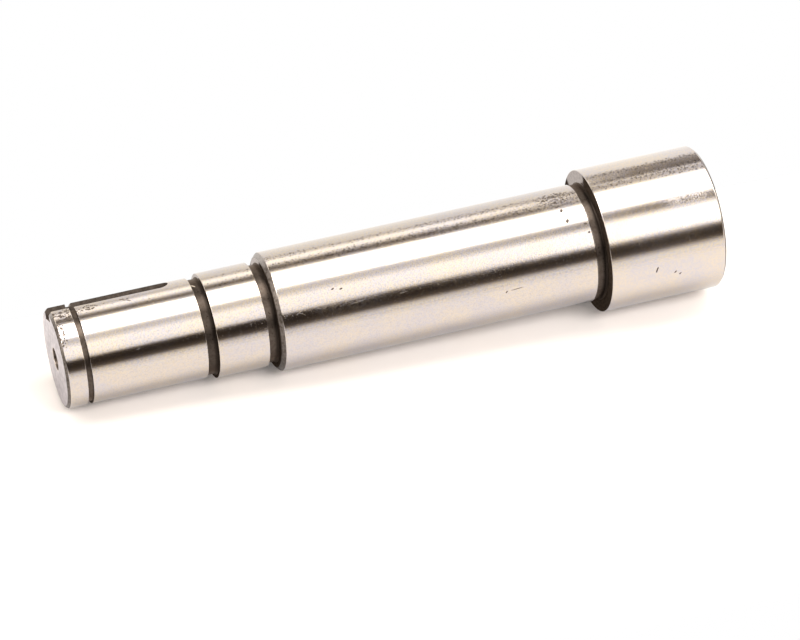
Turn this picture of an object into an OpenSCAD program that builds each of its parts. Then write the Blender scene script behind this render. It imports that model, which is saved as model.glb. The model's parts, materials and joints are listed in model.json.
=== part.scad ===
// Attachment hub shaft: a one-piece stepped drive shaft, turned, hardened and ground.
// It stands on its head. The head's square socket takes the attachment's drive square, and the
// upper end carries a keyed gear, held on by a snap ring, above the bearing journal.
// Units are millimetres, +Z is up, and the origin is the centre of the head's end face.

/* [Overall] */
// Length over both end faces
total_length = 159.5; // [150:0.5:190]

/* [Head] */
// Diameter of the head
head_d = 34.5; // [33:0.5:42]
// Length of the head, from its end face to its shoulder
head_length = 28.8; // [28:0.1:34]
// Edge break round the head's end face
head_chamfer = 0.6; // [0.3:0.1:1.5]

/* [Drive socket] */
// Width across the flats of the square socket
socket_size = 16; // [12:0.5:18]
// Depth of the square socket
socket_depth = 25; // [16:1:27]
// Mouth diameter of the lead-in cone
socket_mouth_d = 20; // [18.5:0.5:24]
// Diameter of the drilled hole under the square
socket_drill_d = 15; // [11:0.5:16]
// Depth of the drilled hole past the square, for chips
socket_drill_run = 3; // [1:0.5:6]

/* [Body] */
// Diameter of the long ground body
body_d = 28.4; // [27:0.2:31]
// Length of the body, from its upper face to the relief groove by the head
body_length = 77.6; // [60:0.2:80]
// Edge break on the body's upper shoulder
body_chamfer = 1; // [0.4:0.1:1.2]

/* [Bearing journal] */
// Diameter of the journal, the bore of its ball bearing
journal_d = 25; // [24.6:0.1:26]
// Length of the ground journal
journal_length = 12.1; // [9:0.1:16]

/* [Gear seat] */
// Diameter of the keyed gear seat
seat_d = 23.8; // [22:0.1:24.4]
// Edge break round the seat's end face
seat_chamfer = 0.7; // [0.3:0.1:1.2]
// Width of the keyway
key_width = 4.8; // [4.2:0.1:8]
// Depth of the keyway below the seat's crown
key_depth = 2.65; // [2:0.05:4]
// Length of the keyway, from the end face to the crown of its round end
key_length = 29; // [20:0.5:30]

/* [Snap-ring groove] */
// Length of seat between the end face and the groove
snap_setback = 4.85; // [3:0.05:8]
// Width of the groove
snap_width = 1.25; // [1:0.05:2]
// Depth of the groove
snap_depth = 0.7; // [0.4:0.05:1]

/* [Relief grooves] */
// Width of each grinding relief
relief_width = 2.5; // [1.5:0.1:3]
// Radius of the fillet where a relief meets its shoulder
relief_fillet = 0.5; // [0.2:0.05:0.8]
// Depth of the relief under the body, by the head
body_relief = 0.3; // [0.2:0.05:0.8]
// Depth of the relief under the journal, by the body
journal_relief = 0.9; // [0.4:0.05:1.2]
// Depth of the relief under the gear seat, by the journal
seat_relief = 0.6; // [0.3:0.05:1]

/* [Centre hole] */
// Mouth diameter of the centre's cone
centre_d = 5.5; // [4:0.1:7]
// Diameter of the pilot hole under the cone
centre_pilot_d = 2.5; // [1.5:0.1:3.2]
// Depth of the pilot hole from the end face
centre_depth = 7.5; // [6.5:0.1:10]
// Full angle of the cone
centre_angle = 60; // [60:15:90]

/* [Hidden] */
$fn = 96;

// Past-the-surface run of every cut
overrun = 1;
// Point angle of the drills
drill_angle = 118;
// Heights of the shoulders, from the head up
head_top = head_length;
body_bottom = head_top + relief_width;
body_top = body_bottom + body_length;
journal_bottom = body_top + relief_width;
journal_top = journal_bottom + journal_length;
seat_bottom = journal_top + relief_width;
// Distance of the keyway's flat floor from the axis
key_floor = seat_d / 2 - key_depth;

// One turned step of the half profile, out from the axis
module step(bottom, top, diameter)
    translate([0, bottom])
        square([diameter / 2, top - bottom]);

// Neck of a relief groove standing on a shoulder, with the fillet in its lower corner
module neck(bottom, diameter) {
    step(bottom, bottom + relief_width, diameter);
    translate([diameter / 2, bottom])
        difference() {
            square(relief_fillet);
            translate([relief_fillet, relief_fillet])
                circle(relief_fillet);
        }
}

// Cut for a 45-degree edge break on a corner of the half profile
module edge_break(diameter, height, size)
    translate([diameter / 2, height])
        rotate(45)
            square(size * sqrt(2), center = true);

// Half profile of the turned and ground blank
module blank_profile()
    difference() {
        union() {
            step(0, head_top, head_d);
            neck(head_top, body_d - 2 * body_relief);
            step(body_bottom, body_top, body_d);
            neck(body_top, journal_d - 2 * journal_relief);
            step(journal_bottom, journal_top, journal_d);
            neck(journal_top, seat_d - 2 * seat_relief);
            step(seat_bottom, total_length, seat_d);
        }
        edge_break(head_d, 0, head_chamfer);
        edge_break(body_d, body_top, body_chamfer);
        edge_break(seat_d, total_length, seat_chamfer);
        translate([seat_d / 2 - snap_depth, total_length - snap_setback - snap_width])
            square([snap_depth + overrun, snap_width]);
    }

// Half profile of the lathe centre in the gear end: cone, pilot and drill point
module centre_profile() {
    cone_run = (centre_d - centre_pilot_d) / 2 / tan(centre_angle / 2);
    point_run = centre_pilot_d / 2 / tan(drill_angle / 2);
    translate([0, total_length])
        polygon([
            [0, 0],
            [centre_d / 2, 0],
            [centre_pilot_d / 2, -cone_run],
            [centre_pilot_d / 2, -centre_depth],
            [0, -centre_depth - point_run]
        ]);
}

// Half profile of the round cuts of the socket: lead-in cone, drilled hole and drill point
module socket_drill_profile() {
    mouth_run = (socket_mouth_d - socket_drill_d) / 2;
    drill_bottom = socket_depth + socket_drill_run;
    point_run = socket_drill_d / 2 / tan(drill_angle / 2);
    polygon([
        [0, 0],
        [socket_mouth_d / 2, 0],
        [socket_drill_d / 2, mouth_run],
        [socket_drill_d / 2, drill_bottom],
        [0, drill_bottom + point_run]
    ]);
}

// Square part of the drive socket
module socket_square()
    translate([-socket_size / 2, -socket_size / 2, -overrun])
        cube([socket_size, socket_size, socket_depth + overrun]);

// Keyway along +X, open through the end face, with the round end that its cutter leaves
module keyway() {
    end_centre = total_length - key_length + key_width / 2;
    translate([key_floor, 0, end_centre]) {
        rotate([0, 90, 0])
            cylinder(d = key_width, h = key_depth + overrun);
        translate([0, -key_width / 2, 0])
            cube([key_depth + overrun, key_width, key_length - key_width / 2 + overrun]);
    }
}

// The whole shaft
module hub_shaft()
    color([0.78, 0.77, 0.76])
        difference() {
            rotate_extrude()
                difference() {
                    blank_profile();
                    centre_profile();
                    socket_drill_profile();
                }
            socket_square();
            keyway();
        }

hub_shaft();
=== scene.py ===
import json
from math import atan, cos, pi, radians, sin, tan

import bpy
from mathutils import Matrix, Vector


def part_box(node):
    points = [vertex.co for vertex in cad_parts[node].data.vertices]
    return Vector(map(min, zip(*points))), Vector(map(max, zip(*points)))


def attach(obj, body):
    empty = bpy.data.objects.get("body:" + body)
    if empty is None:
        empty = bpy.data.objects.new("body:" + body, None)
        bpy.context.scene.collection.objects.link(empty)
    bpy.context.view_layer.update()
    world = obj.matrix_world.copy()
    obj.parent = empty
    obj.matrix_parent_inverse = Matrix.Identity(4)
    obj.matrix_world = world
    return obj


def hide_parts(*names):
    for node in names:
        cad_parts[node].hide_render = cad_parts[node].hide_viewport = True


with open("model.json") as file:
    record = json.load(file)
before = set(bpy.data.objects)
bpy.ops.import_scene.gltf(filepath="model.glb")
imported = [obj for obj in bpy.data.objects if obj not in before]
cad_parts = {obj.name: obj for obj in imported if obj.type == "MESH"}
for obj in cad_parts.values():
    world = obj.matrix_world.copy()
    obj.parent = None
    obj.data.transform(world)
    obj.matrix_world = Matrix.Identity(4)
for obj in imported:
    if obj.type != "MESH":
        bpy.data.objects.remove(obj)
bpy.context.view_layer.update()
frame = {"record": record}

# Turned blank
# The shaft is one bar of alloy steel, turned between lathe centres: a head, a long body, a bearing
# journal and a gear seat, with a relief groove at each shoulder so that the grinding wheel can run out.
MM = 0.001
SEGMENTS = 288
FILLET_STEPS = 6
mounts = {mount["name"]: mount for mount in frame["record"]["mounts"]}
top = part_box("hub_shaft")[1].z
head_radius = mounts["head"]["dims"]["r_mm"] * MM
body_radius = mounts["body"]["dims"]["r_mm"] * MM
journal_radius = mounts["journal"]["dims"]["r_mm"] * MM
seat_radius = mounts["gear_seat"]["dims"]["r_mm"] * MM
head_shoulder = mounts["head_shoulder"]["pos_m"][2]
body_shoulder = mounts["bearing_shoulder"]["pos_m"][2]
journal_shoulder = mounts["gear_shoulder"]["pos_m"][2]
head_chamfer = 0.6 * MM
body_chamfer = 1.0 * MM
seat_chamfer = 0.7 * MM
relief_width = 2.5 * MM
relief_fillet = 0.5 * MM
body_neck = body_radius - 0.3 * MM
journal_neck = journal_radius - 0.9 * MM
seat_neck = seat_radius - 0.6 * MM
snap_width = 1.25 * MM
snap_neck = seat_radius - 0.7 * MM
snap_middle = mounts["snap_groove"]["pos_m"][2]
centre_radius = 2.75 * MM
centre_pilot = 1.25 * MM
centre_depth = 7.5 * MM
centre_half_angle = radians(30)
centre_run = (centre_radius - centre_pilot) / tan(centre_half_angle)
drill_half_angle = radians(59)
edge_round = 0.2 * MM


def relief(shoulder, neck):
    """Profile points up a relief groove: shoulder face, corner fillet and neck."""
    points = []
    for step in range(FILLET_STEPS + 1):
        turn = radians(90) * step / FILLET_STEPS
        points.append((neck + relief_fillet * (1 - sin(turn)), shoulder + relief_fillet * (1 - cos(turn))))
    return points + [(neck, shoulder + relief_width)]


profile = [
    (head_radius - head_chamfer, 0),
    (head_radius, head_chamfer),
    (head_radius, head_shoulder),
    *relief(head_shoulder, body_neck),
    (body_radius, head_shoulder + relief_width),
    (body_radius, body_shoulder - body_chamfer),
    (body_radius - body_chamfer, body_shoulder),
    *relief(body_shoulder, journal_neck),
    (journal_radius, body_shoulder + relief_width),
    (journal_radius, journal_shoulder),
    *relief(journal_shoulder, seat_neck),
    (seat_radius, journal_shoulder + relief_width),
    (seat_radius, snap_middle - snap_width / 2),
    (snap_neck, snap_middle - snap_width / 2),
    (snap_neck, snap_middle + snap_width / 2),
    (seat_radius, snap_middle + snap_width / 2),
    (seat_radius, top - seat_chamfer),
    (seat_radius - seat_chamfer, top),
    (centre_radius, top),
    (centre_pilot, top - centre_run),
    (centre_pilot, top - centre_depth),
]
bpy.ops.object.select_all(action="DESELECT")
radius, height = profile[0]
bpy.ops.mesh.primitive_circle_add(vertices=SEGMENTS, radius=radius, fill_type="NGON", location=(0, 0, height))
shaft = bpy.context.object
shaft.name = "ground_shaft"
bpy.ops.object.mode_set(mode="EDIT")
bpy.ops.mesh.select_all(action="SELECT")
for next_radius, next_height in profile[1:]:
    rise = (0, 0, next_height - height)
    bpy.ops.mesh.extrude_region_move(TRANSFORM_OT_translate={"value": rise})
    grow = next_radius / radius
    bpy.ops.transform.resize(value=(grow, grow, 1), center_override=(0, 0, next_height))
    radius, height = next_radius, next_height
drill_point = (0, 0, -centre_pilot / tan(drill_half_angle))
bpy.ops.mesh.extrude_region_move(TRANSFORM_OT_translate={"value": drill_point})
bpy.ops.mesh.merge(type="CENTER")
bpy.ops.mesh.select_all(action="SELECT")
bpy.ops.mesh.normals_make_consistent(inside=False)
bpy.ops.object.mode_set(mode="OBJECT")
edges = shaft.modifiers.new("broken edges", "BEVEL")
edges.width = edge_round
edges.segments = 3
edges.limit_method = "ANGLE"
edges.angle_limit = radians(35)
bpy.ops.object.modifier_apply(modifier=edges.name)

# Keyway and drive socket
# The keyway is milled with an end mill, so it has a round inner end; it runs out through the end face.
# The square socket in the head is drilled, broached to the square and given a lead-in cone.
key_width = 4.8 * MM
key_length = 29 * MM
key_floor = mounts["keyway"]["pos_m"][0]
socket_size = 16 * MM
socket_depth = 25 * MM
socket_drill = 7.5 * MM
socket_drill_depth = 28 * MM
socket_mouth = 10 * MM
overrun = 1 * MM
drill_sides = 96
key_end_steps = 24
crease_angle = radians(32)


def cut_away(cutter):
    """Subtracts the cutter from the shaft and deletes it."""
    bpy.context.view_layer.objects.active = shaft
    cut = shaft.modifiers.new("cut", "BOOLEAN")
    cut.operation = "DIFFERENCE"
    cut.solver = "EXACT"
    cut.object = cutter
    bpy.ops.object.modifier_apply(modifier=cut.name)
    bpy.data.objects.remove(cutter)


bpy.ops.object.select_all(action="DESELECT")
key_height = seat_radius + overrun - key_floor
key_run = key_length + overrun
bpy.ops.mesh.primitive_cube_add(
    size=1, location=(key_floor + key_height / 2, 0, top - key_length + key_run / 2))
key_cutter = bpy.context.object
key_cutter.scale = (key_height, key_width, key_run)
bpy.ops.object.transform_apply(location=True, rotation=True, scale=True)
bpy.ops.object.mode_set(mode="EDIT")
bpy.ops.mesh.select_mode(type="EDGE")
bpy.ops.mesh.select_all(action="DESELECT")
bpy.ops.object.mode_set(mode="OBJECT")
for edge in key_cutter.data.edges:
    ends = [key_cutter.data.vertices[index].co for index in edge.vertices]
    edge.select = all(end.z < top - key_length / 2 for end in ends) and abs(ends[0].x - ends[1].x) > overrun
bpy.ops.object.mode_set(mode="EDIT")
just_short_of_half = key_width / 2 * 0.999
bpy.ops.mesh.bevel(offset=just_short_of_half, segments=key_end_steps, affect="EDGES")
bpy.ops.object.mode_set(mode="OBJECT")
cut_away(key_cutter)

bpy.ops.object.select_all(action="DESELECT")
drill_tip = socket_drill / tan(drill_half_angle)
bpy.ops.mesh.primitive_cone_add(
    vertices=drill_sides, radius1=socket_drill, radius2=0, depth=drill_tip,
    location=(0, 0, socket_drill_depth + drill_tip / 2))
cut_away(bpy.context.object)
bpy.ops.object.select_all(action="DESELECT")
bpy.ops.mesh.primitive_cylinder_add(
    vertices=drill_sides, radius=socket_drill, depth=socket_drill_depth + overrun,
    location=(0, 0, (socket_drill_depth - overrun) / 2))
cut_away(bpy.context.object)
bpy.ops.object.select_all(action="DESELECT")
bpy.ops.mesh.primitive_cube_add(size=1, location=(0, 0, (socket_depth - overrun) / 2))
square = bpy.context.object
square.scale = (socket_size, socket_size, socket_depth + overrun)
bpy.ops.object.transform_apply(location=True, rotation=True, scale=True)
cut_away(square)
bpy.ops.object.select_all(action="DESELECT")
mouth_run = socket_mouth - socket_drill + overrun
bpy.ops.mesh.primitive_cone_add(
    vertices=drill_sides, radius1=socket_mouth + overrun, radius2=socket_drill, depth=mouth_run,
    location=(0, 0, mouth_run / 2 - overrun))
cut_away(bpy.context.object)

bpy.ops.object.select_all(action="DESELECT")
shaft.select_set(True)
bpy.context.view_layer.objects.active = shaft
bpy.ops.object.shade_smooth_by_angle(angle=crease_angle)
even = shaft.modifiers.new("even shading", "WEIGHTED_NORMAL")
even.keep_sharp = True
even.weight = 90
bpy.ops.object.modifier_apply(modifier=even.name)

# Ground steel
# The outside of every step is ground bright after hardening. The wheel leaves fine rings round the axis
# and a faint unevenness. Use has left rows of pits, rust at the keyed end, scuffs and nicks.
# Angles run round the shaft from its scuffed front, positive towards the pitted side.
STEEL = (0.7, 0.595, 0.485, 1)
COOL_STEEL = (0.595, 0.545, 0.56, 1)
STAIN = (0.1, 0.075, 0.058, 1)
front_azimuth = -77.0
ground_steps = [
    (head_radius, head_chamfer, head_shoulder),
    (body_radius, head_shoulder + relief_width, body_shoulder - body_chamfer),
    (journal_radius, body_shoulder + relief_width, journal_shoulder),
    (seat_radius, journal_shoulder + relief_width, snap_middle - snap_width / 2),
    (seat_radius, snap_middle + snap_width / 2, top - seat_chamfer),
]
worn_side = -10
# Marks are listed by height up the shaft, angle, half length, half width and turn, in mm and degrees
pit_rows = [("lower row of pits", 45, 7), ("upper row of pits", 58, 5)]
rust_patches = [
    ("rust on the crown of the end", 156.0, 53, 4.5, 3.4),
    ("rust down the edge of the end", 159.0, 27, 2.8, 5.0),
    ("rust past the snap groove", 150.5, 57, 3.0, 1.6),
    ("rust on the body by the head", 37.0, 55, 6.0, 3.0),
]
frosted_patches = [
    ("rubbed patch low on the head", 0.7, 7.5, 17, 8, 3),
    ("rubbed patch up the head", 0.4, 11.5, 45, 9, 1.5),
    ("dull patch round the head", 0.3, 14.0, -11, 14, 3),
    ("dull patch along the body", 0.3, 90.0, -10, 15, 2),
    ("dull patch along the body", 0.2, 62.0, -10, 10, 2),
]
nicks = [
    ("scratch by the keyway", 142.2, 57, 0.9, 0.2, -38),
    ("scratch beside that one", 141.1, 54, 0.8, 0.2, -38),
    ("scratch along the body", 51.5, -31, 1.7, 0.1, 4),
    ("end of that scratch", 54.1, -32, 0.4, 0.2, 40),
    ("dent by the head", 37.5, 41, 0.5, 0.35, 20),
    ("dent by the head", 36.8, 35.5, 0.6, 0.4, 60),
    ("dent by the head", 36.3, 23.5, 0.6, 0.45, 60),
    ("dent by the head", 32.3, 17, 0.4, 0.28, 0),
    ("dent by the head", 32.0, 8, 0.35, 0.28, 30),
    ("speck on the body", 95.0, 8, 0.4, 0.22, 20),
    ("speck on the body", 93.1, 6.5, 0.45, 0.22, 10),
    ("nick on the head", 17.7, -36, 0.9, 0.22, 70),
    ("nick on the head", 13.1, -42, 0.45, 0.22, 50),
    ("nick on the head", 11.9, -45, 0.4, 0.2, 50),
]
scuffs = [
    ("crossed scuffs on the body", 103.9, -7, 1.1, 0.1, 30),
    ("crossed scuffs on the body", 103.1, -9, 0.9, 0.1, -35),
    ("long scuff on the body", 90.0, -9, 2.4, 0.16, 6),
    ("short scuff on the body", 78.8, -9.5, 1.2, 0.14, 5),
    ("short scuff on the seat", 142.0, -9, 0.9, 0.1, 15),
    ("scuff round the head", 21.5, -10, 1.0, 0.08, 80),
]


class Field:
    """A socket of a node tree that works in sums, products and comparisons."""

    def __init__(self, tree, socket=None):
        self.tree = tree
        self.socket = socket

    def node(self, kind, settings=(), inputs=(), output=0):
        """Adds a node: its settings first, then values or links for its inputs. Gives one output."""
        made = self.tree.nodes.new(kind)
        for name, value in dict(settings).items():
            if name == "stops":
                ramp = made.color_ramp
                while len(ramp.elements) < len(value):
                    ramp.elements.new(0.5)
                for element, (place, colour) in zip(ramp.elements, value):
                    element.position = place
                    element.color = (*colour, 1)
            else:
                setattr(made, name, value)
        for name, value in dict(inputs).items():
            if isinstance(value, Field):
                self.tree.links.new(value.socket, made.inputs[name])
            else:
                made.inputs[name].default_value = value
        return Field(self.tree, made.outputs[output] if made.outputs else None)

    def math(self, operation, *others):
        return self.node("ShaderNodeMath", {"operation": operation}, dict(enumerate((self, *others))))

    def __add__(self, other):
        return self.math("ADD", other)

    def __radd__(self, other):
        return self.math("ADD", other)

    def __sub__(self, other):
        return self.math("SUBTRACT", other)

    def __rsub__(self, other):
        return self.node("ShaderNodeMath", {"operation": "SUBTRACT"}, {0: other, 1: self})

    def __mul__(self, other):
        return self.math("MULTIPLY", other)

    def __rmul__(self, other):
        return self.math("MULTIPLY", other)

    def __truediv__(self, other):
        return self.math("DIVIDE", other)

    def ramp(self, low, high):
        """0 at low, 1 at high, smooth between and level outside."""
        return self.node(
            "ShaderNodeMapRange", {"interpolation_type": "SMOOTHSTEP"},
            {"Value": self, "From Min": low, "From Max": high})

    def tint(self, colour, other):
        """Mixes two colours, from colour at 0 to other at 1."""
        return self.node("ShaderNodeMix", {"data_type": "RGBA"}, {0: self, 6: colour, 7: other}, output=2)

    def vector(self, operation, *others, output=0):
        return self.node(
            "ShaderNodeVectorMath", {"operation": operation}, dict(enumerate((self, *others))), output=output)

    def noise(self, scale, detail=2.0, stretch=(1, 1, 1)):
        """Cloudy noise from 0 to 1 over coordinates, with features about 1 / scale metres wide."""
        stretched = self.vector("MULTIPLY", stretch)
        return self.node("ShaderNodeTexNoise", inputs={"Vector": stretched, "Scale": scale, "Detail": detail})

    def dots(self, scale, density):
        """Round dots over coordinates, about half of 1 / scale metres wide, in this share of their cells."""
        cell = {"Vector": self, "Scale": scale}
        middle = self.node("ShaderNodeTexVoronoi", inputs=cell, output="Distance")
        lot = self.node("ShaderNodeTexVoronoi", inputs=cell, output="Color")
        return middle.ramp(0.48, 0.25) * (density - lot).ramp(0, 0.05)


def new_finish(name):
    """An empty material and its Object coordinates."""
    material = bpy.data.materials.new(name)
    material.use_nodes = True
    material.node_tree.nodes.clear()
    return material, Field(material.node_tree).node("ShaderNodeTexCoord", output=3)


def metal(place, metallic, colour, roughness, height, depth, edge_tint=(1, 1, 1, 1)):
    """Ends a material: a metal shader with this colour, roughness and relief, tinted at grazing angles."""
    relief = place.node("ShaderNodeBump", inputs={"Strength": 1.0, "Distance": depth, "Height": height})
    shader = place.node("ShaderNodeBsdfPrincipled", inputs={
        "Metallic": metallic, "Base Color": colour, "Roughness": roughness, "Normal": relief,
        "Specular Tint": edge_tint, "Specular IOR Level": 0})
    place.node("ShaderNodeOutputMaterial", inputs={"Surface": shader})


def facing(place, angle, edge, full):
    """1 on the line at this angle round the shaft, within full degrees of it, and 0 from edge degrees on."""
    azimuth = radians(front_azimuth + angle)
    outward = place.vector("MULTIPLY", (1, 1, 0)).vector("NORMALIZE")
    line = outward.vector("DOT_PRODUCT", (cos(azimuth), sin(azimuth), 0), output=1)
    return line.ramp(cos(radians(edge)), cos(radians(full)))


def away_from(place, z, angle, half_length, half_width, turn=0):
    """Distance from the middle of a mark on the shaft's outside, 1 at the mark's outline."""
    azimuth = radians(front_azimuth + angle)
    radius = next(step_radius for step_radius, _, crown in ground_steps if z * MM < crown + relief_width)
    local = place.node("ShaderNodeMapping", {"vector_type": "TEXTURE"}, {
        "Vector": place,
        "Location": (cos(azimuth) * radius, sin(azimuth) * radius, z * MM),
        "Rotation": (radians(turn), 0, azimuth),
        "Scale": (2 * MM, half_width * MM, half_length * MM)})
    return local.vector("LENGTH", output=1)


def together(masks):
    """The strongest of some masks."""
    strongest, *others = masks
    for other in others:
        strongest = strongest.math("MAXIMUM", other)
    return strongest


ground, place = new_finish("ground_steel")
rings = place.noise(1.0, 3.0, (60, 60, 4000))
hairlines = place.noise(1.0, 4.0, (150, 150, 5000)).ramp(0.64, 0.72)
grain = place.noise(2000.0, 2.0)
fine = place.noise(3200.0, 2.0)
cloud = place.noise(160.0, 4.0)
patch = place.noise(90.0, 3.0)
along_axis = place.vector("DOT_PRODUCT", (0, 0, 1), output=1)
rows = together(facing(place, angle, reach, 1) for _, angle, reach in pit_rows)
rows = rows * (along_axis.ramp(journal_shoulder, body_shoulder) * 0.6 + 0.25)
rows = rows * (patch.ramp(0.3, 0.55) * 0.5 + 0.5)
loose = patch.ramp(0.4, 0.7) * 0.06
pits = together([place.dots(1250.0, together([rows * 0.8, loose])), place.dots(2200.0, rows)])
rusty = together(away_from(place, *patch_at).ramp(1.0, 0.4) for _, *patch_at in rust_patches)
rust = together([place.dots(1000.0, rusty * 0.7), place.dots(1900.0, rusty)])
nicked = together((away_from(place, *nick) + fine).ramp(1.5, 1.2) for _, *nick in nicks)
marks = together([rust * 0.85, nicked])
frost = together(
    away_from(place, *patch_at).ramp(1.0, 0.4) * strength for _, strength, *patch_at in frosted_patches)
frost = frost * fine.ramp(0.42, 0.56)
scuffed = together((away_from(place, *scuff) + fine).ramp(1.6, 1.1) for _, *scuff in scuffs)
worn = place.dots(2400.0, facing(place, worn_side, 11, 5) * 0.22)
light_marks = together([frost, scuffed * 0.6, worn * 0.5, hairlines * 0.5, fine.ramp(0.56, 0.7) * 0.25])
shade = (patch.ramp(0.42, 0.58) * 0.4 + grain.ramp(0.42, 0.58) * 0.6).tint(STEEL, COOL_STEEL)
soil = fine.ramp(0.45, 0.7) * (along_axis.ramp(head_shoulder, head_shoulder + relief_width) * 0.14)
dark = together([marks.ramp(0, 0.6) * 0.95, pits * 0.6, soil])
metal(
    place, 1 - marks.ramp(0.5, 0.95) * 0.95, colour=dark.tint(shade, STAIN),
    roughness=cloud * 0.08 + 0.06 + light_marks * 0.25,
    height=fine * 0.45 + rings * 0.05 + cloud, depth=0.012 * MM)

# Hardening scale
# Brown-black oxide that the hardening leaves in the grooves and holes, where no wheel reaches.
# The corner of each relief groove is painted near black, partly for old oil and partly as painted shade, and
# most by the gear, where the edge is chipped.
OIL_AND_SHADE_BLACK = (0.026, 0.0195, 0.0155, 1)
oil_and_shade_reach = 1.4 * MM
chip_at = (125.4, 58, 0.8, 0.25, -50)
shoulders = (head_shoulder, body_shoulder, journal_shoulder)
scale, place = new_finish("hardening_scale")
mottle = place.noise(1500.0, 3.0)
lathe_lines = place.noise(1.0, 2.0, (8, 8, 4000))
along_axis = place.vector("DOT_PRODUCT", (0, 0, 1), output=1)
# Painted shade: the black in each groove corner stands partly for old oil and partly for shade from the
# shoulder and fillet.
oil_and_shade_mask = together((along_axis - z).math("ABSOLUTE").ramp(oil_and_shade_reach, relief_fillet * 0.7) for z in shoulders)
by_gear = along_axis.ramp(body_shoulder + relief_width, journal_shoulder)
by_ring = along_axis.ramp(journal_shoulder + relief_width, snap_middle - snap_width)
oil_and_shade_mask = together([oil_and_shade_mask, by_gear * (1 - by_ring) * 0.4])
brown = mottle.ramp(0.35, 0.7).tint((0.079, 0.06, 0.048, 1), (0.105, 0.083, 0.069, 1))
chip = away_from(place, *chip_at).ramp(1.2, 0.8)
metal(
    place, by_ring * 0.25 + 0.75, colour=chip.tint(oil_and_shade_mask.tint(brown, OIL_AND_SHADE_BLACK), STEEL),
    roughness=mottle * 0.1 + 0.24, height=mottle * 0.5 + lathe_lines * 0.6, depth=0.004 * MM,
    edge_tint=(0.85, 0.75, 0.68, 1))

# Milled keyway
# Cutter-marked walls and floor, browned by the hardening but not as dark as the grooves.
milled, place = new_finish("milled_steel")
mottle = place.noise(900.0, 3.0)
metal(
    place, 0.4, colour=mottle.ramp(0.3, 0.75).tint((0.095, 0.074, 0.061, 1), (0.16, 0.129, 0.108, 1)),
    roughness=mottle * 0.2 + 0.45, height=mottle, depth=0.01 * MM)

# Shoulders
# Turned flat and blackened by the hardening and old oil, but painted grey and metallic on one side as painted
# light.
# The bearing and the gear stand against the two upper ones.
lit_side_angle = 88
shoulder, place = new_finish("shoulder")
mottle = place.noise(1500.0, 4.0)
# Painted reflection: rubbed marks the side towards the lamps above, painted grey where the cap mirrors the
# bright backdrop; the black elsewhere is partly painted shade.
rubbed = facing(place, lit_side_angle, 27, 21)
black = mottle.ramp(0.35, 0.65).tint((0.036, 0.025, 0.018, 1), (0.062, 0.044, 0.033, 1))
grey = mottle.ramp(0.35, 0.65).tint((0.27, 0.243, 0.235, 1), (0.36, 0.326, 0.316, 1))
metal(
    place, rubbed, colour=rubbed.tint(black, grey), roughness=mottle * 0.1 + 0.15, height=mottle,
    depth=0.002 * MM, edge_tint=(0.95, 0.9, 0.88, 1))

# Turned faces
# The end faces, cut clean on the lathe: pale and satin, with faint rings round the axis, one for each
# turn of the feed.
feed = 0.12 * MM
faced, place = new_finish("turned_face")
reach = place.vector("MULTIPLY", (1, 1, 0)).vector("LENGTH", output=1)
feed_lines = (reach * (2 * pi / feed)).math("SINE")
mottle = place.noise(900.0, 4.0)
metal(
    place, 1.0, colour=mottle.ramp(0.32, 0.68).tint((0.5, 0.435, 0.44, 1), (0.74, 0.66, 0.665, 1)),
    roughness=mottle * 0.15 + 0.25, height=feed_lines * 0.3 + mottle, depth=0.003 * MM)

# Edge breaks
# Chamfers turned before the hardening: grey-brown and pitted.
# They are painted lighter on the same side as the shoulders, as painted light.
broken, place = new_finish("edge_break")
mottle = place.noise(1500.0, 3.0)
# Painted light: rubbed marks the side towards the lamps above, not wear.
rubbed = facing(place, lit_side_angle, 45, 20)
dull = mottle.ramp(0.3, 0.65).tint((0.088, 0.07, 0.058, 1), (0.188, 0.158, 0.139, 1))
lit_chamfer_tone = mottle.ramp(0.3, 0.65).tint((0.275, 0.244, 0.225, 1), (0.425, 0.381, 0.356, 1))
metal(
    place, 0.8, colour=rubbed.tint(dull, lit_chamfer_tone), roughness=mottle * 0.15 + 0.25,
    height=mottle, depth=0.003 * MM)

# Every face takes its finish from its place and slope
for finish in (scale, ground, milled, shoulder, faced, broken):
    shaft.data.materials.append(finish)
SCALE, GROUND, MILLED, SHOULDER, FACED, BROKEN = range(6)
edge_breaks = [
    (0, head_chamfer, head_radius),
    (body_shoulder - body_chamfer, body_shoulder, body_radius),
    (top - seat_chamfer, top, seat_radius),
]
reach_in = 1.5 * edge_round
flat = 0.99
sloping = 0.5
for face in shaft.data.polygons:
    out = face.center.to_2d().length
    z = face.center.z
    slope = abs(face.normal.z)
    in_slot = face.center.x > key_floor - edge_round and abs(face.center.y) < key_width / 2 + edge_round
    face.material_index = SCALE
    if out < centre_radius + edge_round and z > top - edge_round:
        face.material_index = GROUND
    if in_slot and z > top - key_length - edge_round:
        face.material_index = MILLED
    if slope > flat and min(abs(z - level) for level in shoulders) < edge_round:
        face.material_index = SHOULDER
    if slope > flat and (z < edge_round or z > top - edge_round):
        face.material_index = FACED
    for bottom, crown, edge_radius in edge_breaks:
        if bottom < z < crown and edge_radius - 2 * body_chamfer < out and sloping < slope < flat:
            face.material_index = BROKEN
    for step_radius, bottom, crown in ground_steps:
        if out > step_radius - reach_in and bottom - reach_in < z < crown + reach_in:
            face.material_index = GROUND
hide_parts("hub_shaft")
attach(shaft, "root")

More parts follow.
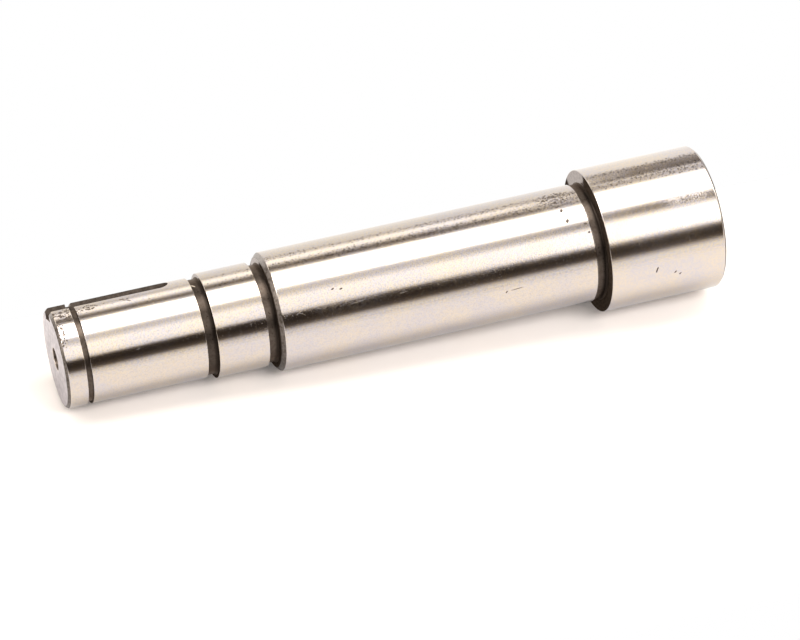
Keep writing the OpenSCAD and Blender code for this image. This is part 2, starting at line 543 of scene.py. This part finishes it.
# Floor
# A white sheet that the shaft lies on in the picture, touching the corners of the body and the head.
# It shows only its upper side, so it hides nothing from the other sides, and fades out towards the
# camera, which sees it a little lighter and warmer than metal does.
PAPER = (0.9, 0.83, 0.785, 1)
MIRRORED_PAPER = (0.7, 0.695, 0.7, 1)
camera_glow = 0.1
floor_length = 1.0
floor_shift = 0.05
front_reach = 0.12
fade_start = 0.025
back_reach = 0.034
floor_azimuth = radians(-24.7)
rest_slope = atan((head_radius - body_radius) / (body_shoulder - body_chamfer - head_shoulder))
level = Vector((cos(floor_azimuth) * cos(rest_slope), sin(floor_azimuth) * cos(rest_slope), -sin(rest_slope)))
rest_point = Vector((-cos(floor_azimuth) * head_radius, -sin(floor_azimuth) * head_radius, head_shoulder))
along = (Vector((0, 0, 1)) - level * level.z).normalized()
frontward = level.cross(along)
bpy.ops.object.select_all(action="DESELECT")
bpy.ops.mesh.primitive_plane_add(size=1)
floor = bpy.context.object
floor.name = "floor_sheet"
turn = Matrix((along, frontward, level)).transposed().to_4x4()
middle = rest_point + along * floor_shift + frontward * (front_reach - back_reach) / 2
floor.matrix_world = (
    Matrix.Translation(middle) @ turn @ Matrix.Diagonal((floor_length, front_reach + back_reach, 1, 1)))
bpy.ops.object.transform_apply(location=True, rotation=True, scale=True)
paper, place = new_finish("white_paper")
mirrored = place.node("ShaderNodeLightPath", output="Is Glossy Ray")
seen = place.node("ShaderNodeLightPath", output="Is Camera Ray")
plain = place.node("ShaderNodeBsdfDiffuse", inputs={"Color": PAPER})
glow = place.node("ShaderNodeEmission", inputs={"Strength": seen * camera_glow})
lighter = place.node("ShaderNodeAddShader", inputs={0: plain, 1: glow})
cooler = place.node("ShaderNodeBsdfDiffuse", inputs={"Color": MIRRORED_PAPER})
white = place.node("ShaderNodeMixShader", inputs={0: mirrored, 1: lighter, 2: cooler})
clear = place.node("ShaderNodeBsdfTransparent")
under = place.node("ShaderNodeNewGeometry", output="Backfacing")
ahead = place.vector("SUBTRACT", rest_point).vector("DOT_PRODUCT", frontward, output=1)
gone = together([under, ahead.ramp(fade_start, front_reach)])
shown = place.node("ShaderNodeMixShader", inputs={0: gone, 1: white, 2: clear})
place.node("ShaderNodeOutputMaterial", inputs={"Surface": shown})
floor.data.materials.append(paper)
floor.visible_diffuse = False
floor.visible_shadow = False

# Soft boxes
# Two wide lamps beside the shaft, a strong one in front and a weak one behind, listed by tilt and power.
# They light the paper and the stains, and no metal shows them.
soft_boxes = [("front_box", radians(45), 2.6), ("back_box", radians(-60), 0.2)]
box_length = 0.4
box_width = 0.2
box_distance = 0.6
box_shift = -0.16
for box_name, box_tilt, box_power in soft_boxes:
    lamp_data = bpy.data.lights.new(box_name, "AREA")
    lamp_data.shape = "RECTANGLE"
    lamp_data.size = box_length
    lamp_data.size_y = box_width
    lamp_data.energy = box_power
    lamp = bpy.data.objects.new(box_name, lamp_data)
    bpy.context.collection.objects.link(lamp)
    beam = level * cos(box_tilt) + frontward * sin(box_tilt)
    lamp_turn = Matrix((along, beam.cross(along), beam)).transposed().to_4x4()
    lamp.matrix_world = Matrix.Translation(rest_point + along * box_shift + beam * box_distance) @ lamp_turn
    lamp.visible_glossy = False
    lamp.visible_camera = False

# Light tent
# White walls and lamps in long strips beside the shaft, with dark gaps between, and the open front.
# Metal mirrors them at full strength, and paper and stains get two thirds of their light.
# Angles run round the shaft from the side that faces the camera, positive towards the lamps above.
body_tent = [
    (-180, 0.95), (-52, 1.03), (-46, 1.02), (-40, 0.64), (-37, 0.22), (-34, 0.1), (-26, 0.035), (-19, 0.04),
    (-15, 0.05), (-12, 0.22), (-9, 1.05), (-5, 1.4), (2, 1.6), (17, 1.7), (24, 1.25), (28, 1.0), (34, 0.95),
    (38, 1.3), (45, 5.0), (70, 5.0), (76, 1.5), (79, 0.65), (84, 0.24), (89, 0.29), (93, 0.7), (97, 1.3),
    (101, 1.75), (107, 1.75), (112, 1.2), (117, 0.8), (122, 0.98), (142, 1.12),
]
head_tent = [
    (-180, 1.15), (-52, 1.22), (-46, 1.16), (-40, 0.57), (-37, 0.2), (-34, 0.1), (-28, 0.06), (-20, 0.12),
    (-16, 0.5), (-12, 1.9), (-8, 2.4), (17, 2.4), (21, 1.6), (27, 0.4), (32, 0.26), (36, 0.6), (39, 1.3),
    (45, 5.0), (71, 5.0), (77, 1.7), (81, 1.05), (86, 0.7), (89, 1.05), (92, 1.3), (95, 0.4), (99, 0.2),
    (105, 0.24), (111, 0.4), (116, 0.5), (122, 1.1), (130, 1.2), (140, 1.2),
]
lamp_strength = 5.0
soft_strength = 3.4
head_dip = -0.268
head_blend = 0.006
world = bpy.data.worlds.new("light_tent")
bpy.context.scene.world = world
world.use_nodes = True
world.node_tree.nodes.clear()
ray = Field(world.node_tree).node("ShaderNodeTexCoord", output=0)
ray_x, ray_y, ray_z = [ray.node("ShaderNodeSeparateXYZ", inputs={0: ray}, output=axis) for axis in range(3)]
around = (ray_y.math("ARCTAN2", ray_x) - radians(front_azimuth) + 3 * pi).math("MODULO", 2 * pi) / (2 * pi)


def strips(tent):
    """Colour of the tent round the shaft, as a share of its lamps' strength; the dim parts are warmer."""
    stops = []
    for angle, red in tent:
        green = min(red, red ** 1.08) * 0.985
        blue = min(red, red ** 1.16) * 0.945
        colour = (red / lamp_strength, green / lamp_strength, blue / lamp_strength)
        stops.append(((angle + 180) / 360, colour))
    return around.node("ShaderNodeValToRGB", {"stops": stops}, {"Fac": around})


by_head = ray_z.ramp(head_dip + head_blend, head_dip - head_blend)
tent = by_head.tint(strips(body_tent), strips(head_tent))
paper_bounces = ray.node("ShaderNodeLightPath", output="Diffuse Depth")
mirrored = ray.node("ShaderNodeLightPath", output="Is Glossy Ray") - paper_bounces
soft = ray.node("ShaderNodeBackground", inputs={"Color": tent, "Strength": soft_strength})
bright = ray.node("ShaderNodeBackground", inputs={"Color": tent, "Strength": lamp_strength})
lit = ray.node("ShaderNodeMixShader", inputs={0: mirrored, 1: soft, 2: bright})
blank = ray.node("ShaderNodeBackground", inputs={"Color": (1, 1, 1, 1), "Strength": 1.0})
seen = ray.node("ShaderNodeLightPath", output="Is Camera Ray")
mixed = ray.node("ShaderNodeMixShader", inputs={0: seen, 1: lit, 2: blank})
ray.node("ShaderNodeOutputWorld", inputs={"Surface": mixed})

# Camera
# It stands level over the floor sheet, about a metre off, with a long lens.
eye = Vector((210.6, -912.0, 292.31)) * MM
aim = Vector((-8.33, -2.02, 77.81)) * MM
lens_data = bpy.data.cameras.new("camera")
lens_data.lens = 183.6
lens_data.sensor_width = 36
camera = bpy.data.objects.new("camera", lens_data)
bpy.context.collection.objects.link(camera)
forward = (aim - eye).normalized()
right = forward.cross(level).normalized()
upward = right.cross(forward)
camera.matrix_world = Matrix.Translation(eye) @ Matrix((right, upward, -forward)).transposed().to_4x4()
bpy.context.scene.camera = camera
bpy.context.scene.view_settings.view_transform = "Standard"
